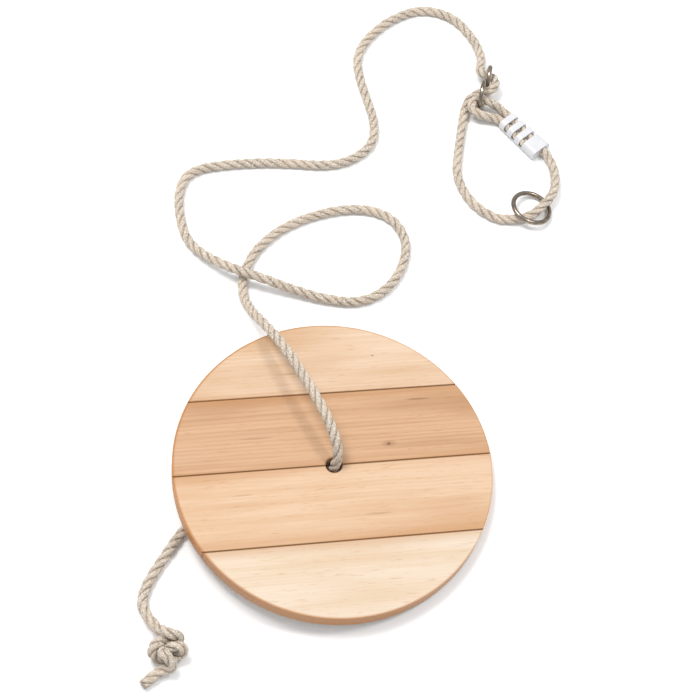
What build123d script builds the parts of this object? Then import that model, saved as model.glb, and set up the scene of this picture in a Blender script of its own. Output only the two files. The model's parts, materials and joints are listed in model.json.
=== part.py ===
from build123d import *
import math
import os

# A round plate swing laid out on the ground: a wooden disc seat of four boards,
# one three-strand rope with a stopper knot under the seat, and at its top end a
# figure-eight adjuster, a clamp ferrule and a steel hanging ring.
# +X is to the right along the boards, +Y away from the sitter, +Z up.
# The origin is the middle of the seat's footprint, on the ground. Sizes are in mm.

# --- driving dimensions -------------------------------------------------------------
SEAT_RADIUS = 150.0
SEAT_THICK = 16.0
RIM_ROUND = 5.0            # radius of the rounded rim, above and below
HOLE_RADIUS = 7.5
HOLE_EASE = 2.0            # the hole's edges are rounded by this much
SEAM_OFFSETS = (-76.0, 0.0, 75.5)
SEAM_BEVEL = 0.8
SEAT_LEAN = 4.0            # degrees: the right rim is down, the rope lifts the middle

DOWEL_RADIUS = 4.0
DOWEL_LENGTH = 36.0
DOWEL_POCKET = 38.0
OUTER_SEAM_DOWELS = (-85.0, 0.0, 85.0)
MIDDLE_SEAM_DOWELS = (-110.0, -55.0, 55.0, 110.0)

ROPE_RADIUS = 5.0
BEND_SHARE = 0.45          # how much of its shorter run a bend takes up

WIRE_RADIUS = 2.5          # of the adjuster and of the hanging ring
RING_RADIUS = 20.0         # to the middle of the wire
RING_CENTRE = (246.0, 275.8, 8.6)
RING_LEAN = 15.5           # degrees from flat
RING_LEAN_HEADING = 20.0   # degrees from +X of the ring's low side

ADJUSTER_HEADING = 67.7    # degrees from +X, from its lower eye to its upper eye
UPPER_EYE = (229.1, 445.1, 14.5)
UPPER_EYE_RADIUS = 12.0    # to the middle of the wire
LOWER_EYE_RADIUS = 14.5

FERRULE_MOUTH = (270.8, 346.8)     # middle of the wide end, seen from above
FERRULE_HEADING = 123.0            # degrees from +X, towards the narrow end
FERRULE_LENGTH = 54.0
FERRULE_BORE = 5.1
FERRULE_HEIGHT = 6.7               # height of the two strands inside it
MOUTH_HALF_WIDTH = 13.0
NARROW_HALF_WIDTH = 11.4
BAND_LENGTH = 7.5
WINDOW_LENGTH = 4.6
WINDOW_DEPTH = 8.5                 # the windows are cut this far down from the top
WIDE_BAND = 17.7

KNOT_CENTRE = (-167.5, -150.0, 14.5)
KNOT_RADIUS = 14.5
KNOT_HALF_LENGTH = 19.0
KNOT_HEADING = 79.0

# The rope's route above the seat: out of the hole, over the rim, twice around on
# the ground, through the adjuster, round the loop with the ring and into the ferrule.
LINE_ROUTE = [
    (0.5, 0, 17), (1.8, 0, 35.6), (3, 14, 50), (-2, 37, 57), (-13, 66, 59), (-25, 97, 57),
    (-37, 125, 52), (-47, 148, 42), (-57, 171, 28), (-62, 193, 12), (-63, 214, 5),
    (-57, 237, 5), (-40, 262, 5), (-10, 283, 5), (29, 295, 5), (68, 297, 5), (98, 284, 5),
    (111, 256, 5), (105, 225, 5), (84, 196, 5), (54, 183, 5), (20, 190, 6), (-14, 204, 9),
    (-43, 216, 17), (-71, 230, 17), (-96, 252, 9), (-113, 275, 5), (-118, 306, 5),
    (-116, 339, 5), (-102, 362, 5), (-62, 366, 5), (-8, 363, 5), (44, 352, 5),
    (74, 360, 5), (94, 377, 5), (100, 405, 5), (95, 440, 5), (91, 475, 5), (94, 499, 5),
    (109, 521, 5), (137, 544, 5), (174, 557, 5), (207, 543, 5), (224, 514, 5),
    (230, 488, 6), (228, 470, 10), (221, 453, 14), (239, 443, 14.5), (232.5, 425, 17.5),
    (209, 425.5, 11.5), (200, 414, 6), (192, 388, 5), (183, 357, 5), (175, 327, 5),
    (183, 294, 5), (205, 269, 5), (225, 265.5, 5.3), (246, 267, 7), (270, 285, 13.5),
    (279, 307, 8.5), (280, 336.1, 6.7), (240.3, 404.1, 6.7), (225, 411.2, 17),
    (209.2, 417.7, 17), (203.1, 402.7, 15.5), (217, 396.5, 11), (233.7, 395.1, 6.7),
    (255.9, 357.4, 6.7),
]

LOOP_STRAND = -8           # the route's run through the ferrule starts at this point

# The tail below the seat, from the hole to the stopper knot.
TAIL_ROUTE = [
    (0.5, 0, 17), (0.07, 0, 10.9), (-5.9, 0, 5), (-20, -1.5, 5), (-45, -5, 5), (-83, -7, 5),
    (-121, -19, 5), (-146, -43, 5), (-164, -66, 5), (-180, -88, 5), (-187, -106, 6),
    (-182, -121, 9), (-174, -133, 12),
]

# The short free end beyond the knot.
END_ROUTE = [(-169.5, -165, 11), (-177, -172, 8), (-190, -180, 5)]


def bend_radii(route):
    """One bend radius for each inner point, as large as its two runs allow."""
    radii = []
    for before, point, after in zip(route, route[1:], route[2:]):
        run_in = Vector(*point) - Vector(*before)
        run_out = Vector(*after) - Vector(*point)
        half_turn = math.radians(run_in.get_angle(run_out) / 2)
        shorter = min(run_in.length, run_out.length)
        radii.append(BEND_SHARE * shorter / math.tan(half_turn))
    return radii


def rope_tube(route, name):
    """A plain round tube along a route of straight runs joined by tangent arcs."""
    radii = bend_radii(route)
    with BuildPart() as tube:
        with BuildLine() as path:
            FilletPolyline(*route, radius=radii)
        start = path.wires()[0]
        with BuildSketch(Plane(origin=start @ 0, z_dir=start % 0)):
            Circle(ROPE_RADIUS)
        sweep()
    length = sum(edge.length for edge in path.edges())
    share = tube.part.volume / (math.pi * ROPE_RADIUS**2 * length)
    print(name, "length", round(length, 1), "volume over section times length", round(share, 4))
    print(name, "bend radii", [round(radius, 1) for radius in radii])
    tube.part.label = name
    return tube.part


def heading_vector(degrees):
    return Vector(math.cos(math.radians(degrees)), math.sin(math.radians(degrees)), 0)


os.makedirs("parts", exist_ok=True)

# --- the seat's own plane: its underside, leaning to the right --------------------------
lean = math.radians(SEAT_LEAN)
rim_reach = SEAT_RADIUS - RIM_ROUND
seat_lift = rim_reach * math.sin(lean) + RIM_ROUND * (1 - math.cos(lean))
seat_normal = Vector(math.sin(lean), 0, math.cos(lean))
seat_along = Vector(math.cos(lean), 0, -math.sin(lean))
seat_plane = Plane(origin=(0, 0, seat_lift), x_dir=seat_along, z_dir=seat_normal)
print("seat lift", round(seat_lift, 3), "seat normal", [round(part, 5) for part in seat_normal])

# --- the round seat blank on a plane of its own, one half profile turned about the hole ---
with BuildPart() as seat_blank:
    with BuildSketch(Plane.XZ):
        with Locations(((HOLE_RADIUS + SEAT_RADIUS) / 2, SEAT_THICK / 2)):
            blank = Rectangle(SEAT_RADIUS - HOLE_RADIUS, SEAT_THICK)
        corners = blank.vertices().sort_by(Axis.X)
        fillet(corners[:2], HOLE_EASE)
        fillet(corners[2:], RIM_ROUND)
    revolve(axis=Axis.Z)

# --- four boards, edge to edge, with bevelled seams and pockets for the dowels ------------
seam_edges = [-SEAT_RADIUS - 1, *SEAM_OFFSETS, SEAT_RADIUS + 1]
board_names = ["board_front", "board_middle_front", "board_middle_back", "board_back"]
dowel_rows = [OUTER_SEAM_DOWELS, MIDDLE_SEAM_DOWELS, OUTER_SEAM_DOWELS]
dowel_places = [
    (along, seam, SEAT_THICK / 2) for seam, row in zip(SEAM_OFFSETS, dowel_rows) for along in row
]

for name, near, far in zip(board_names, seam_edges, seam_edges[1:]):
    with BuildPart(seat_plane) as board:
        add(seat_blank.part)
        with Locations((0, (near + far) / 2, SEAT_THICK / 2)):
            Box(3 * SEAT_RADIUS, far - near, 2 * SEAT_THICK, mode=Mode.INTERSECT)
        for seam in SEAM_OFFSETS:
            for height in (0, SEAT_THICK):
                with Locations((0, seam, height)):
                    groove = SEAM_BEVEL * math.sqrt(2)
                    Box(3 * SEAT_RADIUS, groove, groove, rotation=(45, 0, 0), mode=Mode.SUBTRACT)
        with Locations(*dowel_places):
            Cylinder(DOWEL_RADIUS, DOWEL_POCKET, rotation=(90, 0, 0), mode=Mode.SUBTRACT)
    board.part.label = name
    export_step(board.part, f"parts/{name}.step")

with BuildPart(seat_plane) as seam_dowels:
    with Locations(*dowel_places):
        Cylinder(DOWEL_RADIUS, DOWEL_LENGTH, rotation=(90, 0, 0))
seam_dowels.part.label = "seam_dowels"
export_step(seam_dowels.part, "parts/seam_dowels.step")

# --- the rope: the line above the seat, the tail below it, and the free end ---------------
rope_parts = {"rope_line": LINE_ROUTE, "rope_tail": TAIL_ROUTE, "rope_end": END_ROUTE}
ropes = {}
for name, route in rope_parts.items():
    ropes[name] = rope_tube(route, name)

# --- stopper knot: the closed outer shape of the knot, with the rope let into it ----------
knot_along = heading_vector(KNOT_HEADING)
knot_side = heading_vector(KNOT_HEADING - 90)
knot_plane = Plane(origin=KNOT_CENTRE, x_dir=knot_along, z_dir=-knot_side)
with BuildPart() as stopper_knot:
    with BuildSketch(knot_plane):
        Ellipse(KNOT_HALF_LENGTH, KNOT_RADIUS)
        with Locations((0, -KNOT_RADIUS)):
            Rectangle(4 * KNOT_RADIUS, 2 * KNOT_RADIUS, mode=Mode.SUBTRACT)
    revolve(axis=Axis(KNOT_CENTRE, knot_along))
    add(ropes["rope_tail"], mode=Mode.SUBTRACT)
    add(ropes["rope_end"], mode=Mode.SUBTRACT)
stopper_knot.part.label = "stopper_knot"
export_step(stopper_knot.part, "parts/stopper_knot.step")

for name, rope in ropes.items():
    export_step(rope, f"parts/{name}.step")

# --- adjuster: two wire eyes, one above the other, welded where they meet ------------------
adjuster_along = heading_vector(ADJUSTER_HEADING)
adjuster_side = heading_vector(ADJUSTER_HEADING - 90)
eye_step = UPPER_EYE_RADIUS + LOWER_EYE_RADIUS
upper_eye = Vector(*UPPER_EYE)
lower_eye = upper_eye - adjuster_along * eye_step + Vector(0, 0, LOWER_EYE_RADIUS - UPPER_EYE_RADIUS)
with BuildPart() as adjuster:
    for eye, eye_radius in ((upper_eye, UPPER_EYE_RADIUS), (lower_eye, LOWER_EYE_RADIUS)):
        with Locations(Plane(origin=eye, z_dir=adjuster_side)):
            Torus(eye_radius, WIRE_RADIUS)
adjuster.part.label = "adjuster"
export_step(adjuster.part, "parts/adjuster.step")

# --- hanging ring, threaded on the loop and lying aslant over it ------------------------------
ring_normal = heading_vector(RING_LEAN_HEADING) * math.sin(math.radians(RING_LEAN)) + Vector(
    0, 0, math.cos(math.radians(RING_LEAN))
)
with BuildPart(Plane(origin=RING_CENTRE, z_dir=ring_normal)) as hanging_ring:
    Torus(RING_RADIUS, WIRE_RADIUS)
hanging_ring.part.label = "hanging_ring"
export_step(hanging_ring.part, "parts/hanging_ring.step")

# --- clamp ferrule: a moulded shell that tapers to the eye, four bands and three windows ---
ferrule_along = heading_vector(FERRULE_HEADING)
ferrule_side = heading_vector(FERRULE_HEADING + 90)
ferrule_plane = Plane(
    origin=(*FERRULE_MOUTH, FERRULE_HEIGHT), x_dir=ferrule_side, z_dir=ferrule_along
)
bores = [LINE_ROUTE[LOOP_STRAND : LOOP_STRAND + 2], LINE_ROUTE[-2:]]
with BuildPart() as ferrule:
    for reach, half_width in ((0, MOUTH_HALF_WIDTH), (FERRULE_LENGTH, NARROW_HALF_WIDTH)):
        with BuildSketch(ferrule_plane.offset(reach)):
            RectangleRounded(2 * half_width, 2 * FERRULE_HEIGHT, FERRULE_HEIGHT - 0.4)
    loft()
    for window in range(3):
        window_start = WIDE_BAND + window * (BAND_LENGTH + WINDOW_LENGTH)
        with BuildSketch(ferrule_plane.offset(window_start)):
            with Locations((0, FERRULE_HEIGHT)):
                Rectangle(3 * MOUTH_HALF_WIDTH, 2 * WINDOW_DEPTH)
        extrude(amount=WINDOW_LENGTH, mode=Mode.SUBTRACT)
    for start, end in bores:
        bore_start = Vector(*start)
        bore_run = Vector(*end) - bore_start
        with BuildSketch(Plane(origin=bore_start, z_dir=bore_run)):
            Circle(FERRULE_BORE)
        extrude(amount=bore_run.length, mode=Mode.SUBTRACT)
ferrule.part.label = "ferrule"
export_step(ferrule.part, "parts/ferrule.step")
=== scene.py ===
"""Round plate swing, laid out on a pale floor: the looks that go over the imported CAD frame.

A wooden disc seat of four boards, one three-strand rope with a figure-eight stopper knot
under the seat, and at its top end a figure-eight wire adjuster, a moulded clamp ferrule
and a steel hanging ring. Metres, +Z up, the same frame as the CAD.
"""
import json
import math
import random

import bpy
import numpy as np
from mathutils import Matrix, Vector


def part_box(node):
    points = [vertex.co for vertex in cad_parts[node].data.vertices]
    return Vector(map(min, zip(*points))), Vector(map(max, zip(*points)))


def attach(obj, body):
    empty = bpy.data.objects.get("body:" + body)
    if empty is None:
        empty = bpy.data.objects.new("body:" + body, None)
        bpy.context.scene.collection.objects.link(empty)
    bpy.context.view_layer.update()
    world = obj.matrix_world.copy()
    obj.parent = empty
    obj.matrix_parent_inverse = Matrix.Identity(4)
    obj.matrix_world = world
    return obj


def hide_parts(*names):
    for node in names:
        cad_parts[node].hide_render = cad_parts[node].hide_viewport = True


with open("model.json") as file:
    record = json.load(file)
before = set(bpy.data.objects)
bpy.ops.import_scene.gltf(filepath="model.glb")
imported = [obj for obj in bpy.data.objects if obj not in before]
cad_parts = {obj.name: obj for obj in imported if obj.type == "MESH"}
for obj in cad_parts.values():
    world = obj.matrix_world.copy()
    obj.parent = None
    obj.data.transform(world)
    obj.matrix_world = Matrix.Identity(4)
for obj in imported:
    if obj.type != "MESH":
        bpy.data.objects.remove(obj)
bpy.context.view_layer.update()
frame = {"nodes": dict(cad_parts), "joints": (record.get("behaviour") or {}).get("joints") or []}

# --- driving values ------------------------------------------------------------------
RIM_ROUND = 0.005            # radius of the seat's rounded rim

ROPE_RADIUS = 0.005
LAY_LENGTH = 0.034           # one full turn of the three strands
STRAND_COUNT = 3
STRAND_HALF_DEPTH = 0.00250  # a strand's half size, in towards the rope's middle
STRAND_HALF_WIDTH = 0.00295  # and across, wider because the strand lies aslant
STRAND_SIDES = 16
STRAND_UNEVEN = 0.05         # how much a strand swells and thins
LAY_UNEVEN = 0.16            # how far, in radians, the lay runs ahead and behind
RING_SPACING = 0.0010        # along the rope, between two rings of a strand's mesh
YARNS = 9                    # yarns seen around one strand
YARN_TURN = 0.030            # they are twisted against the rope's lay, one turn in this

HAIR_RADIUS = 0.00009        # of a loose fibre on the rope
HAIR_RISE = (0.0004, 0.0016)  # how far it stands off the strand
HAIR_REACH = (0.003, 0.007)
YARN_END_RADIUS = 0.00022    # of a yarn that stands out of the rope's cut end
YARN_END_REACH = (0.001, 0.0032)
YARN_END_SPREAD = 0.0042     # from the middle of the cut end
LEAST_HEIGHT = 0.0003        # fibres stay this far above the floor

WIRE_RADIUS = 0.0025         # of the adjuster and of the hanging ring
WIRE_SIDES = 20
EYE_OFFSET = -0.0019         # the adjuster's two wires pass each other this far aside
EYE_POINTS = 60              # along the wire of one eye
EYE_SMOOTHING = 4            # rounds that ease the wire from one eye into the other
RING_POINTS = 120            # along the wire of the hanging ring
WELD_PLACE = 0.62            # the ring's weld, as shares of the way round
WELD_WIDTH = 0.008
WELD_BEAD = 0.05             # how much thicker the wire is at the weld

FERRULE_VOXEL = 0.00036      # the ferrule's mesh is rebuilt this fine, then softened
FERRULE_SOFTENING = 7        # rounds of smoothing

KNOT_GAP = 0.0092            # the knot's turns are pressed together a little
KNOT_ROUNDS = 60
KNOT_FREE_END = 0.012        # the rope beyond the knot that its tightening leaves alone

FLOOR_HALF = 40.0            # from the middle of the floor to its edge

# The rope above the seat, from the hole to the ferrule: the CAD's route, with the second
# and third points moved to the hole's right side, and three points added in the ferrule,
# which keep the rope on the middle of its bores.
LINE_ROUTE = [
    (0.0005, 0, 0.017), (0.0048, 0, 0.0356), (0.0045, 0.013, 0.05), (-0.002, 0.037, 0.057),
    (-0.013, 0.066, 0.059), (-0.025, 0.097, 0.057), (-0.037, 0.125, 0.052), (-0.047, 0.148, 0.042),
    (-0.057, 0.171, 0.028), (-0.062, 0.193, 0.012), (-0.063, 0.214, 0.005), (-0.057, 0.237, 0.005),
    (-0.04, 0.262, 0.005), (-0.01, 0.283, 0.005), (0.029, 0.295, 0.005), (0.068, 0.297, 0.005),
    (0.098, 0.284, 0.005), (0.111, 0.256, 0.005), (0.105, 0.225, 0.005), (0.084, 0.196, 0.005),
    (0.054, 0.183, 0.005), (0.02, 0.19, 0.006), (-0.014, 0.204, 0.009), (-0.043, 0.216, 0.017),
    (-0.071, 0.23, 0.017), (-0.096, 0.252, 0.009), (-0.113, 0.275, 0.005), (-0.118, 0.306, 0.005),
    (-0.116, 0.339, 0.005), (-0.102, 0.362, 0.005), (-0.062, 0.366, 0.005), (-0.008, 0.363, 0.005),
    (0.044, 0.352, 0.005), (0.074, 0.36, 0.005), (0.094, 0.377, 0.005), (0.1, 0.405, 0.005),
    (0.095, 0.44, 0.005), (0.091, 0.475, 0.005), (0.094, 0.499, 0.005), (0.109, 0.521, 0.005),
    (0.137, 0.544, 0.005), (0.174, 0.557, 0.005), (0.207, 0.543, 0.005), (0.224, 0.514, 0.005),
    (0.23, 0.488, 0.006), (0.228, 0.47, 0.01), (0.221, 0.453, 0.014), (0.239, 0.443, 0.0145),
    (0.2325, 0.425, 0.0175), (0.209, 0.4255, 0.0115), (0.2, 0.414, 0.006), (0.192, 0.388, 0.005),
    (0.183, 0.357, 0.005), (0.175, 0.327, 0.005), (0.183, 0.294, 0.005), (0.205, 0.269, 0.005),
    (0.225, 0.2655, 0.0053), (0.246, 0.267, 0.007), (0.27, 0.285, 0.0135), (0.279, 0.307, 0.0085),
    (0.28, 0.3361, 0.0067), (0.2653, 0.3613, 0.0067), (0.2503, 0.387, 0.0067),
    (0.2403, 0.4041, 0.0067), (0.225, 0.4112, 0.017),
    (0.2092, 0.4177, 0.017), (0.2031, 0.4027, 0.0155), (0.217, 0.3965, 0.011),
    (0.2337, 0.3951, 0.0067), (0.2425, 0.3802, 0.0067), (0.2559, 0.3574, 0.0067),
]

# The rope under the seat, from the hole to the knot: the CAD's route.
TAIL_ROUTE = [
    (0.0005, 0, 0.017), (0.00007, 0, 0.0109), (-0.0059, 0, 0.005), (-0.02, -0.0015, 0.005),
    (-0.045, -0.005, 0.005), (-0.083, -0.007, 0.005), (-0.121, -0.019, 0.005),
    (-0.146, -0.043, 0.005), (-0.164, -0.066, 0.005), (-0.18, -0.088, 0.005),
    (-0.187, -0.106, 0.006), (-0.182, -0.121, 0.009), (-0.174, -0.133, 0.012),
]

# The knot, from the tail's last point: over the top to the right, down and back under,
# up over the left side, under to the right, up and into the middle, and out over the front
# to the free end.
KNOT_ROUTE = [
    (-0.174, -0.133, 0.012), (-0.1713, -0.1370, 0.0132), (-0.1675, -0.1420, 0.0200),
    (-0.1625, -0.1445, 0.0245), (-0.1570, -0.1440, 0.0220), (-0.1540, -0.1450, 0.0150),
    (-0.1555, -0.1470, 0.0085), (-0.1605, -0.1485, 0.0065), (-0.1655, -0.1475, 0.0105),
    (-0.1695, -0.1475, 0.0155), (-0.1745, -0.149, 0.0195), (-0.180, -0.1525, 0.017),
    (-0.181, -0.1565, 0.0105), (-0.177, -0.160, 0.0055), (-0.169, -0.1605, 0.005),
    (-0.161, -0.160, 0.005), (-0.154, -0.159, 0.0085), (-0.1505, -0.1565, 0.015),
    (-0.155, -0.1545, 0.0205), (-0.162, -0.1525, 0.0195), (-0.1675, -0.1515, 0.0135),
    (-0.1725, -0.1545, 0.0125), (-0.172, -0.157, 0.0185), (-0.1685, -0.160, 0.0225),
    (-0.165, -0.1655, 0.0215), (-0.1625, -0.170, 0.015), (-0.1645, -0.1715, 0.008),
    (-0.170, -0.1685, 0.0065), (-0.177, -0.172, 0.007), (-0.184, -0.1765, 0.0055),
    (-0.190, -0.180, 0.005),
]

# --- camera and light ----------------------------------------------------------------
CAMERA_PLACE = (-0.1310, -0.5928, 1.3399)
CAMERA_TURN = (28.957, -2.830, -7.836)     # degrees about X, Y and Z
CAMERA_LENS = 79.75                        # mm, on the usual 36 mm sensor

SKY_COLOUR = (0.94, 0.965, 1.0, 1)
SKY_LOW, SKY_HIGH = 0.50, 0.96             # strength of the surroundings low down and overhead
SKY_LOW_HEIGHT = 0.1                       # below this share of the way up it is all SKY_LOW
LIGHT_AIM = (0.0, 0.1, 0.0)
LIGHT_TINT = (1.0, 0.975, 0.94)
KEY_LIGHT = {"place": (-0.60, 0.70, 2.1), "size": 0.8, "power": 33}
FILL_LIGHT = {"place": (0.90, 0.05, 1.70), "size": 0.28, "power": 9}


def camera():
    """The camera at the angle from which the swing is first seen."""
    data = bpy.data.cameras.new("camera")
    data.lens = CAMERA_LENS
    made = bpy.data.objects.new("camera", data)
    made.location = CAMERA_PLACE
    made.rotation_euler = [math.radians(turn) for turn in CAMERA_TURN]
    bpy.context.collection.objects.link(made)
    bpy.context.scene.camera = made


def soft_light(name, place, size, power):
    """A square studio light, pointed at a spot on the floor."""
    data = bpy.data.lights.new(name, "AREA")
    data.size = size
    data.energy = power
    data.color = LIGHT_TINT
    made = bpy.data.objects.new(name, data)
    made.location = place
    made.rotation_euler = (Vector(LIGHT_AIM) - Vector(place)).to_track_quat("-Z", "Y").to_euler()
    bpy.context.collection.objects.link(made)


def studio():
    """Pale surroundings, darker low down, a key light from the far left, a fill from the right."""
    world = bpy.data.worlds.new("surroundings")
    world.use_nodes = True
    nodes, links = world.node_tree.nodes, world.node_tree.links
    way = nodes.new("ShaderNodeTexCoord").outputs["Generated"]
    height = nodes.new("ShaderNodeSeparateXYZ")
    strength = nodes.new("ShaderNodeMapRange")
    strength.inputs["From Min"].default_value = SKY_LOW_HEIGHT
    strength.inputs["To Min"].default_value = SKY_LOW
    strength.inputs["To Max"].default_value = SKY_HIGH
    background = nodes["Background"]
    background.inputs["Color"].default_value = SKY_COLOUR
    links.new(way, height.inputs[0])
    links.new(height.outputs["Z"], strength.inputs["Value"])
    links.new(strength.outputs[0], background.inputs["Strength"])
    bpy.context.scene.world = world
    bpy.context.scene.view_settings.view_transform = "Standard"
    soft_light("key", **KEY_LIGHT)
    soft_light("fill", **FILL_LIGHT)


# --- materials ----------------------------------------------------------------------
def blank_material(name, **finish):
    """A material with one principled shader; finish gives its plain socket values."""
    made = bpy.data.materials.new(name)
    made.use_nodes = True
    shader = made.node_tree.nodes["Principled BSDF"]
    for socket, value in finish.items():
        shader.inputs[socket.replace("_", " ")].default_value = value
    return made, shader


def node(material, kind, inputs=None, **settings):
    """Adds a shader node; inputs holds plain values or the sockets that feed them."""
    made = material.node_tree.nodes.new("ShaderNode" + kind)
    for setting, value in settings.items():
        setattr(made, setting, value)
    for socket, value in (inputs or {}).items():
        if isinstance(value, bpy.types.NodeSocket):
            material.node_tree.links.new(value, made.inputs[socket])
        else:
            made.inputs[socket].default_value = value
    return made


def feed(material, source, target):
    material.node_tree.links.new(source, target)


def math_node(material, operation, *values):
    """The result of one Math node; each value is a number or a socket."""
    return node(material, "Math", dict(enumerate(values)), operation=operation).outputs[0]


def sum_of_squares(material, first, second):
    squares = [math_node(material, "POWER", value, 2.0) for value in (first, second)]
    return math_node(material, "ADD", *squares)


def noise(material, vector, scale, detail=3.0, roughness=0.5):
    settings = {"Vector": vector, "Scale": scale, "Detail": detail, "Roughness": roughness}
    return node(material, "TexNoise", settings).outputs["Fac"]


def stretched(material, vector, scale, place=(0, 0, 0)):
    """The same coordinates, moved and then scaled apart along the three axes."""
    moved = node(material, "Mapping", {"Vector": vector, "Location": place, "Scale": scale})
    return moved.outputs[0]


def ranged(material, value, low, high, to_low=0.0, to_high=1.0):
    """The value moved from the range low to high into the range to_low to to_high."""
    limits = {
        "Value": value, "From Min": low, "From Max": high, "To Min": to_low, "To Max": to_high,
    }
    return node(material, "MapRange", limits).outputs["Result"]


def blended(material, share, first, second):
    """Two colours mixed; a colour is four numbers or a socket."""
    made = material.node_tree.nodes.new("ShaderNodeMix")
    made.data_type = "RGBA"
    wanted = {"Factor": share, "A": first, "B": second}
    sockets = {socket.name: socket for socket in made.inputs if socket.enabled}
    for name, value in wanted.items():
        if isinstance(value, bpy.types.NodeSocket):
            feed(material, value, sockets[name])
        else:
            sockets[name].default_value = value
    return next(socket for socket in made.outputs if socket.enabled)


def bump(material, shader, height, strength, distance):
    made = node(material, "Bump", {"Height": height, "Strength": strength, "Distance": distance})
    feed(material, made.outputs[0], shader.inputs["Normal"])


# The seat's lean and the radius of its rim, from the frame.
spin = next(joint for joint in frame["joints"] if joint["name"] == "seat_spin")
SEAT_LEAN = math.atan2(spin["axis"][0], spin["axis"][2])
rim_left, rim_right = (corner.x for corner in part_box("board_middle_front"))
SEAT_RIM = (rim_right - rim_left) / 2 / math.cos(SEAT_LEAN)

DEEP_TONE_AND_RIM_SHADE = (0.39, 0.145, 0.022, 1)         # end grain at the rounded rim, oiled deeper, with painted shade on the rim; also deep flecks
# painted shade in the groove of a glued seam
SEAM_GROOVE_SHADE = (0.08, 0.036, 0.014, 1)
MARK_TONE = (0.15, 0.056, 0.021, 1)


def wood(name, pale, dark, pith, ring_scale, figure, seams=(), marks=()):
    """Oiled softwood, cut from a log whose pith runs along the board at pith (y, z).

    The rings are warped a little along the board, and a fine fibre, flecks and slow patches
    of tone lie over them. The rounded rim shows end grain and is a deeper orange, partly
    painted shade, and painted shade darkens the edges beside a glued seam. A mark is a pin
    knot or a short resin streak: its middle (x, y), its half length and half width, and how
    dark it is.
    """
    made, shader = blank_material(name, Roughness=0.48, Specular_IOR_Level=0.35)
    place = node(made, "TexCoord").outputs["Object"]
    level = node(made, "Mapping", {"Vector": place, "Rotation": (0, -SEAT_LEAN, 0)}).outputs[0]
    warp = noise(made, stretched(made, level, (5, 22, 22), (pith[0], 0.3, 0.1)), 1.0, 3.0)
    warp = ranged(made, warp, 0, 1, -0.006, 0.006)
    log = stretched(made, level, (0.04, 1, 1), (0, -pith[0], -pith[1]))
    shift = node(made, "CombineXYZ", {"Y": warp, "Z": warp}).outputs[0]
    log = node(made, "VectorMath", {0: log, 1: shift}, operation="ADD").outputs[0]
    rings = node(
        made, "TexWave",
        {"Vector": log, "Scale": ring_scale, "Distortion": 2.2, "Detail": 2.0,
         "Detail Scale": 0.8},
        wave_type="RINGS", rings_direction="X", wave_profile="SIN",
    ).outputs["Fac"]
    faded = noise(made, stretched(made, level, (6, 60, 60), pith + (0.2,)), 1.0, 2.0)
    rings, faded = ranged(made, rings, 0.35, 1.0), ranged(made, faded, 0.3, 0.7)
    late = math_node(made, "MULTIPLY", rings, faded)
    fibre = noise(made, stretched(made, level, (14, 700, 700)), 1.0, 4.0, 0.6)
    streak = noise(made, stretched(made, level, (4, 120, 120), pith + (0.7,)), 1.0, 3.0)
    patch = noise(made, stretched(made, level, (5, 14, 14), (0.4,) + pith), 1.0, 2.0)

    tone = blended(made, math_node(made, "MULTIPLY", late, figure), pale, dark)
    fine = math_node(made, "MULTIPLY", ranged(made, fibre, 0.42, 0.75), 0.30)
    tone = blended(made, fine, tone, dark)
    streaks = math_node(made, "MULTIPLY", ranged(made, streak, 0.48, 0.72), 0.5)
    tone = blended(made, streaks, tone, dark)
    tone = blended(made, ranged(made, patch, 0.3, 0.7, 0.0, 0.30), tone, pale)
    zone = noise(made, stretched(made, level, (3.5, 24, 24), pith + (0.9,)), 1.0, 3.0)
    tone = blended(made, ranged(made, zone, 0.46, 0.70, 0.0, 0.70), tone, dark)
    fleck = noise(made, stretched(made, level, (70, 1100, 1100), (0.1,) + pith), 1.0, 1.0)
    tone = blended(made, ranged(made, fleck, 0.64, 0.74, 0.0, 0.35), tone, DEEP_TONE_AND_RIM_SHADE)

    along = node(made, "SeparateXYZ", {"Vector": level}).outputs
    reach = math_node(made, "SQRT", sum_of_squares(made, along[0], along[1]))
    for mark_x, mark_y, half_length, half_width, depth in marks:
        ahead = math_node(made, "SUBTRACT", along[0], mark_x)
        ahead = math_node(made, "DIVIDE", ahead, half_length)
        aside = math_node(made, "ADD", along[1], math_node(made, "MULTIPLY", warp, 0.25))
        aside = math_node(made, "DIVIDE", math_node(made, "SUBTRACT", aside, mark_y), half_width)
        off = sum_of_squares(made, ahead, aside)
        tone = blended(made, ranged(made, off, 0.3, 1.3, depth, 0.0), tone, MARK_TONE)
    # The rounded rim turns the deeper orange: end grain, with painted shade on the rim's side.
    edge = ranged(made, reach, SEAT_RIM - RIM_ROUND / 2, SEAT_RIM - RIM_ROUND / 8, 0.0, 0.85)
    tone = blended(made, edge, tone, DEEP_TONE_AND_RIM_SHADE)
    for seam in seams:
        away = math_node(made, "ABSOLUTE", math_node(made, "SUBTRACT", along[1], seam))
        # a thin line of painted shade along the seam's groove
        tone = blended(made, ranged(made, away, 0.0003, 0.0013, 0.85, 0.0), tone, SEAM_GROOVE_SHADE)
        stain = math_node(made, "MULTIPLY", ranged(made, away, 0.001, 0.011, 0.34, 0.0),
                          ranged(made, zone, 0.35, 0.6, 0.4, 1.0))
        tone = blended(made, stain, tone, DEEP_TONE_AND_RIM_SHADE)
    feed(made, tone, shader.inputs["Base Color"])
    height = math_node(made, "ADD", fibre, math_node(made, "MULTIPLY", late, 0.5))
    bump(made, shader, height, 0.18, 0.0003)
    return made


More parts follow.
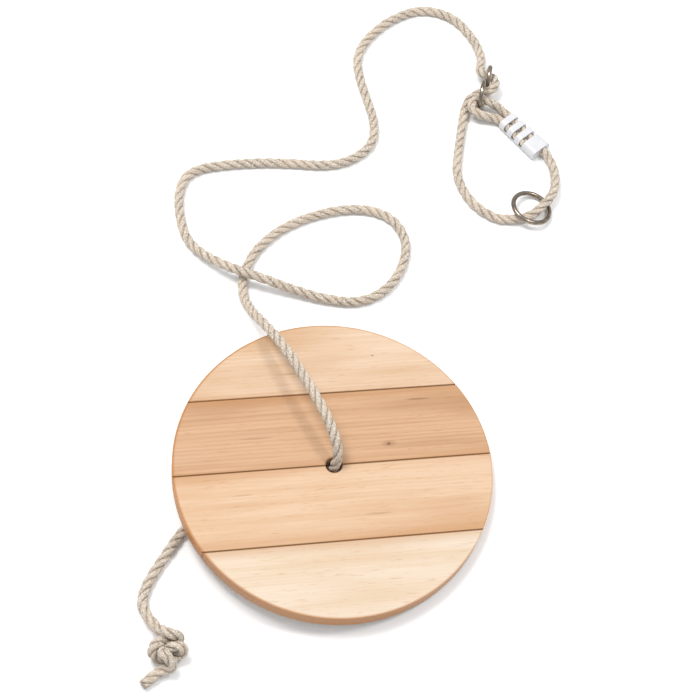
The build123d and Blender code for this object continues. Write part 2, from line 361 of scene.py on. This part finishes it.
# Each board: its two tones, the pith of its log (y, z), how close its rings are and how
# strong they show, and its pin knots and resin streaks.
BOARD_LOOKS = {
    "board_back": {
        "pale": (0.638, 0.487, 0.357, 1), "dark": (0.486, 0.287, 0.148, 1),
        "pith": (0.26, -0.10), "ring_scale": 105, "figure": 0.45,
        "marks": [(-0.030, 0.0980, 0.0130, 0.0010, 0.30), (0.052, 0.1130, 0.0018, 0.0013, 0.40)],
    },
    "board_middle_back": {
        "pale": (0.54, 0.336, 0.198, 1), "dark": (0.348, 0.175, 0.078, 1),
        "pith": (0.15, -0.12), "ring_scale": 120, "figure": 0.55,
        "marks": [
            (0.054, 0.018, 0.0022, 0.0016, 0.75), (0.054, 0.0182, 0.0075, 0.0032, 0.28),
            (0.089, 0.0630, 0.0120, 0.0011, 0.45), (-0.070, 0.0330, 0.0160, 0.0009, 0.30),
        ],
    },
    "board_middle_front": {
        "pale": (0.622, 0.439, 0.295, 1), "dark": (0.488, 0.275, 0.135, 1),
        "pith": (-0.24, -0.10), "ring_scale": 90, "figure": 0.35,
        "marks": [(0.034, -0.0520, 0.0140, 0.0009, 0.28), (-0.088, -0.0240, 0.0100, 0.0008, 0.25)],
    },
    "board_front": {
        "pale": (0.661, 0.558, 0.451, 1), "dark": (0.566, 0.4, 0.246, 1),
        "pith": (0.32, -0.15), "ring_scale": 110, "figure": 0.35,
    },
}
DOWEL_LOOK = {
    "pale": (0.60, 0.45, 0.29, 1), "dark": (0.46, 0.30, 0.15, 1),
    "pith": (0.0, 0.0), "ring_scale": 80, "figure": 0.4,
}
SEAM_REACH = 0.1             # a board's edge nearer the middle than this is a seam


def rope_fibre():
    """Hemp-coloured yarns, pale on the strands' crowns, with painted shade brown down between
    them.
    """
    made, shader = blank_material("rope_fibre", Roughness=0.82, Specular_IOR_Level=0.25,
                                  Sheen_Weight=0.25, Sheen_Roughness=0.5)
    place = node(made, "TexCoord").outputs["Object"]
    lay = node(made, "UVMap", uv_map="lay").outputs[0]
    round_about, along = node(made, "SeparateXYZ", {"Vector": lay}).outputs[:2]
    turned = math_node(made, "ADD", round_about, math_node(made, "MULTIPLY", along, 1 / YARN_TURN))
    wobble = math_node(made, "MULTIPLY", noise(made, place, 160, 2.0), 0.06)
    turned = math_node(made, "ADD", turned, wobble)
    wave = math_node(made, "SINE", math_node(made, "MULTIPLY", turned, 2 * math.pi * YARNS))
    yarn = ranged(made, wave, -1, 1)
    threads = node(made, "CombineXYZ", {
        "X": math_node(made, "MULTIPLY", turned, 90.0),
        "Y": math_node(made, "MULTIPLY", along, 160.0)}).outputs[0]
    fuzz = noise(made, threads, 1.0, 3.0, 0.65)
    patch = noise(made, place, 45, 2.0)

    crown = (0.67, 0.603, 0.514, 1)
    yarn_tone = (0.492, 0.402, 0.305, 1)
    # painted shade down between the strands and between the yarns; also the tone of dark flecks at
    # random
    crease_shade_and_fleck = (0.224, 0.16, 0.104, 1)
    bleached = (0.78, 0.745, 0.69, 1)
    warm = (0.66, 0.54, 0.43, 1)
    tone = blended(made, ranged(made, fuzz, 0.3, 0.7), yarn_tone, crown)
    # painted shade in the creases between the yarns
    tone = blended(made, ranged(made, yarn, 0.0, 0.35, 0.45, 0.0), tone, crease_shade_and_fleck)
    # painted shade, darker towards each strand's sides, down between the strands
    from_crown = math_node(made, "PINGPONG", round_about, 0.5)
    tone = blended(made, ranged(made, from_crown, 0.15, 0.30, 0.0, 0.72), tone, crease_shade_and_fleck)
    fleck = noise(made, place, 620, 2.0, 0.6)
    tone = blended(made, ranged(made, fleck, 0.54, 0.66, 0.0, 0.68), tone, crease_shade_and_fleck)
    tone = blended(made, ranged(made, fleck, 0.46, 0.34, 0.0, 0.80), tone, bleached)
    tone = blended(made, ranged(made, patch, 0.40, 0.65, 0.0, 0.35), tone, warm)
    feed(made, tone, shader.inputs["Base Color"])
    height = math_node(made, "ADD", yarn, math_node(made, "MULTIPLY", fuzz, 0.5))
    bump(made, shader, height, 0.7, 0.0004)
    return made


def dull_nickel():
    """Nickel plate on steel wire, handled and a little dull, with fine drawing marks."""
    made, shader = blank_material("dull_nickel", Metallic=1.0)
    place = node(made, "TexCoord").outputs["Object"]
    cloud = noise(made, place, 180, 3.0)
    speck = noise(made, place, 1500, 2.0)
    plate, dulled, pit = (0.35, 0.295, 0.238, 1), (0.20, 0.158, 0.124, 1), (0.16, 0.12, 0.09, 1)
    tone = blended(made, ranged(made, cloud, 0.35, 0.7), plate, dulled)
    tone = blended(made, ranged(made, speck, 0.62, 0.75, 0.0, 0.5), tone, pit)
    feed(made, tone, shader.inputs["Base Color"])
    feed(made, ranged(made, cloud, 0.3, 0.7, 0.16, 0.28), shader.inputs["Roughness"])
    bump(made, shader, speck, 0.12, 0.0001)
    return made


def white_plastic():
    """White moulded plastic with a faint matt skin."""
    made, shader = blank_material("white_plastic", Roughness=0.34, Specular_IOR_Level=0.5)
    place = node(made, "TexCoord").outputs["Object"]
    cloud = noise(made, place, 120, 2.0)
    clean, handled = (0.63, 0.63, 0.65, 1), (0.58, 0.583, 0.61, 1)
    tone = blended(made, ranged(made, cloud, 0.3, 0.7), clean, handled)
    feed(made, tone, shader.inputs["Base Color"])
    bump(made, shader, noise(made, place, 2600, 2.0), 0.08, 0.0001)
    return made


def pale_floor():
    """Matt paper, hardly uneven in tone."""
    made, shader = blank_material("pale_floor", Roughness=0.9, Specular_IOR_Level=0.0)
    place = node(made, "TexCoord").outputs["Object"]
    cloud = noise(made, place, 3, 2.0)
    tone = blended(made, cloud, (0.93, 0.93, 0.93, 1), (0.95, 0.95, 0.95, 1))
    feed(made, tone, shader.inputs["Base Color"])
    return made


# --- meshes -------------------------------------------------------------------------
def mesh_object(name, points, faces, material, lay=None, smooth=True):
    """A new mesh; lay gives its faces' corners in the UV map of the rope's lay."""
    data = bpy.data.meshes.new(name)
    data.from_pydata([tuple(point) for point in points], [], faces)
    data.materials.append(material)
    if lay is not None:
        data.uv_layers.new(name="lay").data.foreach_set("uv", np.asarray(lay, float).ravel())
    # A tube's end caps have many corners and stay flat.
    data.polygons.foreach_set("use_smooth", [smooth and len(face) < 5 for face in faces])
    data.update()
    made = bpy.data.objects.new(name, data)
    bpy.context.collection.objects.link(made)
    return made


def spline_points(route):
    """The points of the smooth line that has the route's points as its control points."""
    data = bpy.data.curves.new("route", "CURVE")
    data.dimensions = "3D"
    data.resolution_u = 40
    spline = data.splines.new("NURBS")
    spline.points.add(len(route) - 1)
    for point, place in zip(spline.points, route):
        point.co = (*place, 1)
    spline.order_u = 3
    spline.use_endpoint_u = True
    holder = bpy.data.objects.new("route", data)
    line = bpy.data.meshes.new_from_object(holder)
    points = np.array([tuple(vertex.co) for vertex in line.vertices])
    bpy.data.objects.remove(holder)
    bpy.data.curves.remove(data)
    bpy.data.meshes.remove(line)
    return points


def thinned(points, spacing):
    """Leaves out points of a line that are nearer than spacing to the one kept before."""
    kept = [points[0]]
    for point in points[1:-1]:
        if np.linalg.norm(point - kept[-1]) >= spacing:
            kept.append(point)
    if np.linalg.norm(points[-1] - kept[-1]) < spacing / 2:
        kept.pop()
    return np.array(kept + [points[-1]])


def tightened(points, free, gap, rounds):
    """Pulls a knot tight: its line shortens, and its turns press apart to a gap.

    The last free points stay where they are, and points near each other along the line
    don't press on each other.
    """
    line = points.copy()
    order = np.arange(len(line))
    spacing = np.linalg.norm(np.diff(line, axis=0), axis=1).mean()
    least_apart, press_share, even_share = 1.6 * gap, 0.5, 0.35
    apart = np.abs(order[:, None] - order[None]) * spacing > least_apart
    loose = (order > 2) & (order < len(line) - free)
    for _ in range(rounds):
        between = line[:, None] - line[None]
        distance = np.linalg.norm(between, axis=2) + 1e-9
        press = np.where(apart & (distance < gap), (gap - distance) / distance, 0.0)
        push = (between * press[..., None]).sum(axis=1)
        count = np.maximum((press > 0).sum(axis=1), 1)
        line[loose] += press_share * (push / count[:, None])[loose]
        even = line.copy()
        even[1:-1] = (line[:-2] + line[2:]) / 2
        line[loose] += even_share * (even - line)[loose]
        line[:, 2] = np.maximum(line[:, 2], ROPE_RADIUS)
    return line


def with_frames(points):
    """For each point of a line: the way along it, two ways across it, and its length so far."""
    ways = np.gradient(points, axis=0)
    ways /= np.linalg.norm(ways, axis=1)[:, None]
    side = Vector(ways[0]).orthogonal().normalized()
    sides = [side]
    for before, after in zip(ways, ways[1:]):
        side = side.copy()
        side.rotate(Vector(before).rotation_difference(Vector(after)))
        side = (side - Vector(after) * side.dot(Vector(after))).normalized()
        sides.append(side)
    sides = np.array([tuple(side) for side in sides])
    steps = np.linalg.norm(np.diff(points, axis=0), axis=1)
    lengths = np.concatenate([[0.0], np.cumsum(steps)])
    return ways, sides, np.cross(ways, sides), lengths


def tube_faces(rings, sides, first=0, closed=False):
    """Quads between the rings of a tube, and a cap at each end if it isn't closed."""
    faces = []
    for ring in range(rings if closed else rings - 1):
        near, far = first + ring * sides, first + (ring + 1) % rings * sides
        for side in range(sides):
            other = (side + 1) % sides
            faces.append((near + side, near + other, far + other, far + side))
    if not closed:
        faces.append(tuple(first + side for side in reversed(range(sides))))
        faces.append(tuple(first + (rings - 1) * sides + side for side in range(sides)))
    return faces


class Rope:
    """The one laid rope, from its free end to the ferrule, drawn in stretches."""

    def __init__(self, points):
        self.points = points
        self.ways, self.sides, self.ups, self.lengths = with_frames(points)

    def ring(self, index, strand):
        """The outline of one strand at one point of the rope, its middle and its way out."""
        length = self.lengths[index]
        turn = 2 * math.pi * (length / LAY_LENGTH + strand / STRAND_COUNT)
        turn += LAY_UNEVEN * (math.sin(47 * length) + math.sin(113 * length))
        out = math.cos(turn) * self.sides[index] + math.sin(turn) * self.ups[index]
        about = -math.sin(turn) * self.sides[index] + math.cos(turn) * self.ups[index]
        swell = 1 + STRAND_UNEVEN * math.sin(310 * length + 2.1 * strand) * math.sin(67 * length)
        angles = np.linspace(0, 2 * math.pi, STRAND_SIDES, endpoint=False)
        middle = self.points[index] + out * (ROPE_RADIUS - STRAND_HALF_DEPTH)
        outline = (
            middle
            + np.outer(np.cos(angles), out) * STRAND_HALF_DEPTH * swell
            + np.outer(np.sin(angles), about) * STRAND_HALF_WIDTH * swell
        )
        return outline, middle, out

    def stretch(self, name, first, last, material, fibres, seed, hairy=(0.0, 1.0), end_brush=0):
        """The three strands between two points of the rope, with some loose fibres.

        hairy is the part of the stretch that has them, as shares of its points: none
        stand out where the rope passes through the seat and the fittings. end_brush is
        the number of yarn ends at the rope's cut end.
        """
        points, faces, lay = [], [], []
        for strand in range(STRAND_COUNT):
            start = len(points)
            for index in range(first, last + 1):
                points.extend(self.ring(index, strand)[0])
            faces += tube_faces(last - first + 1, STRAND_SIDES, start)
            for index in range(first, last):
                near, far = self.lengths[index], self.lengths[index + 1]
                for side in range(STRAND_SIDES):
                    left, right = side / STRAND_SIDES, (side + 1) / STRAND_SIDES
                    lay += [(left, near), (right, near), (right, far), (left, far)]
            lay += [(0.25, self.lengths[first])] * STRAND_SIDES
            lay += [(0.25, self.lengths[last])] * STRAND_SIDES
        chance = random.Random(seed)
        hairs_from, hairs_to = (first + int(share * (last - first)) for share in hairy)
        for _ in range(fibres):
            self.loose_fibre(chance, chance.randrange(hairs_from, hairs_to), points, faces, lay)
        for _ in range(end_brush):
            self.end_fibre(chance, points, faces, lay)
        return mesh_object(name, points, faces, material, lay)

    def loose_fibre(self, chance, index, points, faces, lay):
        """A hair that leaves a strand's crown at a small angle and curls over."""
        middle, out = self.ring(index, chance.randrange(STRAND_COUNT))[1:]
        about = np.cross(self.ways[index], out)
        way = self.ways[index] * chance.choice((-1, 1)) + about * chance.uniform(-0.8, 0.8)
        root = middle + out * STRAND_HALF_DEPTH * 0.85
        rise, reach = chance.uniform(*HAIR_RISE), chance.uniform(*HAIR_REACH)
        knee = root + way * reach * 0.5 + out * rise
        tip = root + way * reach + out * rise * chance.uniform(0.3, 1.2)
        hair(root, knee, tip, HAIR_RADIUS, points, faces, lay)

    def end_fibre(self, chance, points, faces, lay):
        """A short yarn end that stands out of the cut end of the rope."""
        turn, share = chance.uniform(0, 2 * math.pi), math.sqrt(chance.random())
        out = math.cos(turn) * self.sides[0] + math.sin(turn) * self.ups[0]
        inside = 0.001           # it starts this far inside the rope
        root = self.points[0] + out * share * YARN_END_SPREAD + self.ways[0] * inside
        reach = chance.uniform(*YARN_END_REACH)
        knee = root - self.ways[0] * (inside + reach * 0.5) + out * 0.0001
        tip = root - self.ways[0] * (inside + reach) + out * share * chance.uniform(0, 0.0012)
        hair(root, knee, tip, YARN_END_RADIUS, points, faces, lay)


def hair(root, knee, tip, radius, points, faces, lay):
    """A thin closed spike with one bend, kept above the floor."""
    tip[2], knee[2] = max(tip[2], LEAST_HEIGHT), max(knee[2], LEAST_HEIGHT)
    first = len(points)
    way = Vector(tip - root).normalized()
    side = way.orthogonal().normalized()
    for place, size in ((root, radius), (knee, radius * 0.8)):
        for corner in range(3):
            angle = 2 * math.pi * corner / 3
            offset = side * math.cos(angle) + way.cross(side) * math.sin(angle)
            points.append(place + np.array(offset) * size)
    points.append(tip)
    for corner in range(3):
        other = (corner + 1) % 3
        faces.append((first + corner, first + other, first + 3 + other, first + 3 + corner))
        faces.append((first + 3 + corner, first + 3 + other, first + 6))
        lay += [(0.0, 0.0)] * 7
    faces.append((first + 2, first + 1, first))
    lay += [(0.0, 0.0)] * 3


# --- the wire fittings and the ferrule -----------------------------------------------
def wire_loop(name, line, radius_at, material):
    """A closed round wire along a closed line; radius_at gives its radius at each point."""
    points = []
    count = len(line)
    ways = np.roll(line, -1, axis=0) - np.roll(line, 1, axis=0)
    ways /= np.linalg.norm(ways, axis=1)[:, None]
    angles = np.linspace(0, 2 * math.pi, WIRE_SIDES, endpoint=False)
    middle = line.mean(axis=0)
    flat = np.linalg.svd(line - middle)[2][2]
    for index in range(count):
        across = np.cross(ways[index], flat)
        across /= np.linalg.norm(across)
        up = np.cross(ways[index], across)
        ring = np.outer(np.cos(angles), across) + np.outer(np.sin(angles), up)
        points.extend(line[index] + ring * radius_at(index / count))
    return mesh_object(name, points, tube_faces(count, WIRE_SIDES, closed=True), material)


def round_line(centre, along, up, radius, count, start=0.0, sweep=2 * math.pi):
    """Points round a circle, from start by sweep; along and up are its two ways."""
    angles = start + np.linspace(0, sweep, count, endpoint=False)
    return centre + radius * (np.outer(np.cos(angles), along) + np.outer(np.sin(angles), up))


def figure_eight(material):
    """The adjuster: one wire bent into two eyes that passes itself side by side.

    Its size comes from the plain adjuster in the frame. The two eyes stand on edge on the
    floor, and the lower eye is the larger one, so it gives the adjuster its height.
    """
    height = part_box("adjuster")[1].z
    plain = frame["nodes"]["adjuster"].data
    places = np.array([tuple(vertex.co) for vertex in plain.vertices])
    centre = places.mean(axis=0)
    heading = np.linalg.svd(places[:, :2] - centre[:2])[2][0]
    heading = heading if heading[1] > 0 else -heading
    along = np.array((heading[0], heading[1], 0.0))
    up = np.array((0.0, 0.0, 1.0))
    side = np.cross(along, up)
    reach = places @ along
    ends = reach.min() + WIRE_RADIUS, reach.max() - WIRE_RADIUS
    lower_radius = (height - 2 * WIRE_RADIUS) / 2
    upper_radius = (ends[1] - ends[0]) / 2 - lower_radius
    on_floor = centre - along * (centre @ along)
    crossing_reach = ends[0] + 2 * lower_radius
    eyes = []
    for radius, reach_to, start, sweep, lean in (
        (upper_radius, crossing_reach + upper_radius, -math.pi, 2 * math.pi, 1),
        (lower_radius, crossing_reach - lower_radius, 0.0, -2 * math.pi, -1),
    ):
        middle = on_floor + along * reach_to
        middle[2] = radius + WIRE_RADIUS
        eye = round_line(middle, along, up, radius, EYE_POINTS, start, sweep)
        drift = lean * EYE_OFFSET * np.cos(np.linspace(0, math.pi, EYE_POINTS, endpoint=False))
        eyes.append(eye + drift[:, None] * side)
    line = np.concatenate(eyes)
    for _ in range(EYE_SMOOTHING):
        line = (np.roll(line, 1, axis=0) + 2 * line + np.roll(line, -1, axis=0)) / 4
    made = wire_loop("figure_eight_adjuster", line, lambda share: WIRE_RADIUS, material)
    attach(made, "rope")
    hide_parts("adjuster")
    return made


def welded_ring(material):
    """The hanging ring, with the low bead of its butt weld."""
    plain = frame["nodes"]["hanging_ring"].data
    places = np.array([tuple(vertex.co) for vertex in plain.vertices])
    centre = (places.max(axis=0) + places.min(axis=0)) / 2
    across, up = np.linalg.svd(places - centre, full_matrices=False)[2][:2]
    radius = np.linalg.norm(places - centre, axis=1).max() - WIRE_RADIUS
    line = round_line(centre, across, up, radius, RING_POINTS)

    def weld(share):
        from_weld = (share - WELD_PLACE) / WELD_WIDTH
        return WIRE_RADIUS * (1 + WELD_BEAD * math.exp(-(from_weld ** 2)))

    made = wire_loop("welded_ring", line, weld, material)
    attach(made, "ring")
    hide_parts("hanging_ring")
    return made


def moulded_ferrule(material):
    """The ferrule's shell with its edges softened, as they leave the mould."""
    data = frame["nodes"]["ferrule"].data.copy()
    made = bpy.data.objects.new("moulded_ferrule", data)
    bpy.context.collection.objects.link(made)
    data.materials.clear()
    data.materials.append(material)
    shell = made.modifiers.new("shell", "REMESH")
    shell.mode = "VOXEL"
    shell.voxel_size = FERRULE_VOXEL
    shell.use_smooth_shade = True
    soften = made.modifiers.new("soften", "SMOOTH")
    soften.factor = 0.5
    soften.iterations = FERRULE_SOFTENING
    depsgraph = bpy.context.evaluated_depsgraph_get()
    softened = bpy.data.meshes.new_from_object(made.evaluated_get(depsgraph))
    made.modifiers.clear()
    made.data = softened
    bpy.data.meshes.remove(data)
    softened.polygons.foreach_set("use_smooth", [True] * len(softened.polygons))
    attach(made, "rope")
    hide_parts("ferrule")
    return made


def dress(node_name, material):
    """Gives a CAD node that stays its material."""
    slots = frame["nodes"][node_name].data.materials
    slots.clear()
    slots.append(material)


# --- putting it together ---------------------------------------------------------------
camera()
studio()

floor_corners = [(-1, -1, 0), (1, -1, 0), (1, 1, 0), (-1, 1, 0)]
floor = mesh_object(
    "floor", [Vector(corner) * FLOOR_HALF for corner in floor_corners], [(0, 1, 2, 3)],
    pale_floor(), smooth=False,
)

line_points = thinned(spline_points(LINE_ROUTE), RING_SPACING)
tail_points = thinned(spline_points(TAIL_ROUTE), RING_SPACING)
knot_points = thinned(spline_points(KNOT_ROUTE), RING_SPACING)
knot_points = tightened(knot_points, int(KNOT_FREE_END / RING_SPACING), KNOT_GAP, KNOT_ROUNDS)

# The rope's own line runs from its free end up to the ferrule.
knot_points = knot_points[::-1]
tail_up = tail_points[::-1]
rope = Rope(np.concatenate([knot_points, tail_up[1:], line_points[1:]]))
knot_last = len(knot_points) - 1
tail_last = knot_last + len(tail_up) - 1
line_last = len(rope.points) - 1

hemp = rope_fibre()
nickel = dull_nickel()
knot = rope.stretch("knot_and_end", 0, knot_last, hemp, fibres=60, seed=3, end_brush=90)
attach(knot, "rope")
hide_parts("stopper_knot", "rope_end")
tail = rope.stretch(
    "rope_under_seat", knot_last, tail_last, hemp, fibres=45, seed=5, hairy=(0.02, 0.42))
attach(tail, "rope")
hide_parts("rope_tail")
line = rope.stretch(
    "rope_above_seat", tail_last, line_last, hemp, fibres=480, seed=7, hairy=(0.03, 0.84))
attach(line, "rope")
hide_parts("rope_line")

adjuster = figure_eight(nickel)
ring = welded_ring(nickel)
ferrule = moulded_ferrule(white_plastic())

for name, look in BOARD_LOOKS.items():
    edges = [corner.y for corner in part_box(name)]
    seams = [edge for edge in edges if abs(edge) < SEAM_REACH]
    dress(name, wood(name + "_wood", seams=seams, **look))
dress("seam_dowels", wood("dowel_wood", **DOWEL_LOOK))
